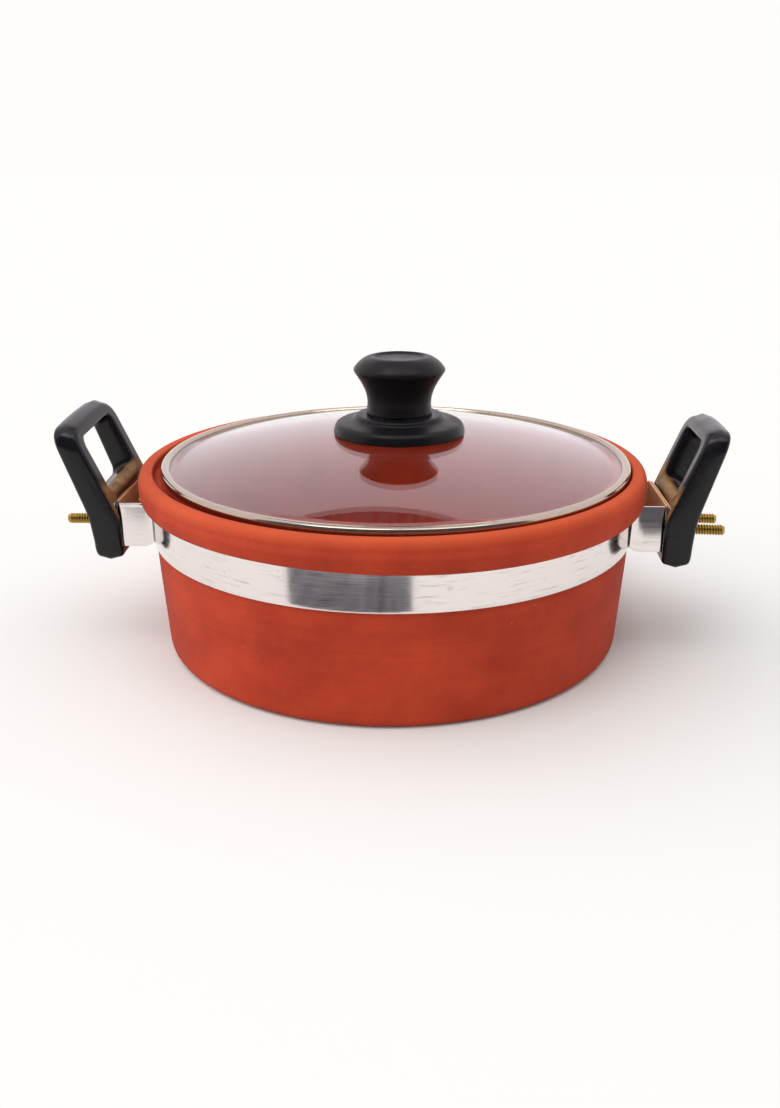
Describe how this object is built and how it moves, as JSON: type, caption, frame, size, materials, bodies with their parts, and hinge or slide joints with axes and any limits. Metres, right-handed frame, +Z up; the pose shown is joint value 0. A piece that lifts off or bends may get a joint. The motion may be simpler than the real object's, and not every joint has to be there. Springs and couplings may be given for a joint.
{
  "type": "clay kadai",
  "caption": "Round terracotta cooking pot with a polished steel band, bolted black loop handles and a domed glass lid with a knob, for stovetop cooking.",
  "frame": {"origin": "on the pot's axis, at the flat base that it stands on", "axes": "+X through the right handle, -Y to the front, +Z up along the pot's axis"},
  "size_m": [0.3066, 0.238, 0.134],
  "materials": {
    "terracotta": "matte unglazed",
    "polished_steel": "mirror polished stainless",
    "phenolic": "semi-gloss moulded",
    "yellow_zinc": "yellow plated steel",
    "zinc": "bright plated steel",
    "tempered_glass": "clear polished",
    "silicone": "matte",
    "brass": "machined"
  },
  "bodies": {
    "pot": {"clay_pot": "terracotta", "band_front": "polished_steel", "band_rear": "polished_steel", "handle_left": "phenolic", "handle_right": "phenolic", "handle_bolt_left_front": "yellow_zinc", "handle_bolt_left_rear": "yellow_zinc", "handle_bolt_right_front": "yellow_zinc", "handle_bolt_right_rear": "yellow_zinc", "handle_washer_left_front": "zinc", "handle_washer_left_rear": "zinc", "handle_washer_right_front": "zinc", "handle_washer_right_rear": "zinc", "handle_nut_left_front": "zinc", "handle_nut_left_rear": "zinc", "handle_nut_right_front": "zinc", "handle_nut_right_rear": "zinc"},
    "lid": {"lid_glass": "tempered_glass", "lid_ring": "polished_steel", "lid_gasket_upper": "silicone", "lid_gasket_lower": "silicone", "lid_washer": "polished_steel", "knob_base": "phenolic", "knob": "phenolic", "knob_insert": "brass", "knob_screw": "zinc"}
  },
  "joints": [
    {"name": "lid_lift", "type": "slide", "parent": "pot", "child": "lid", "axis": [0, 0, 1], "range_m": [0, 0.15]}
  ]
}
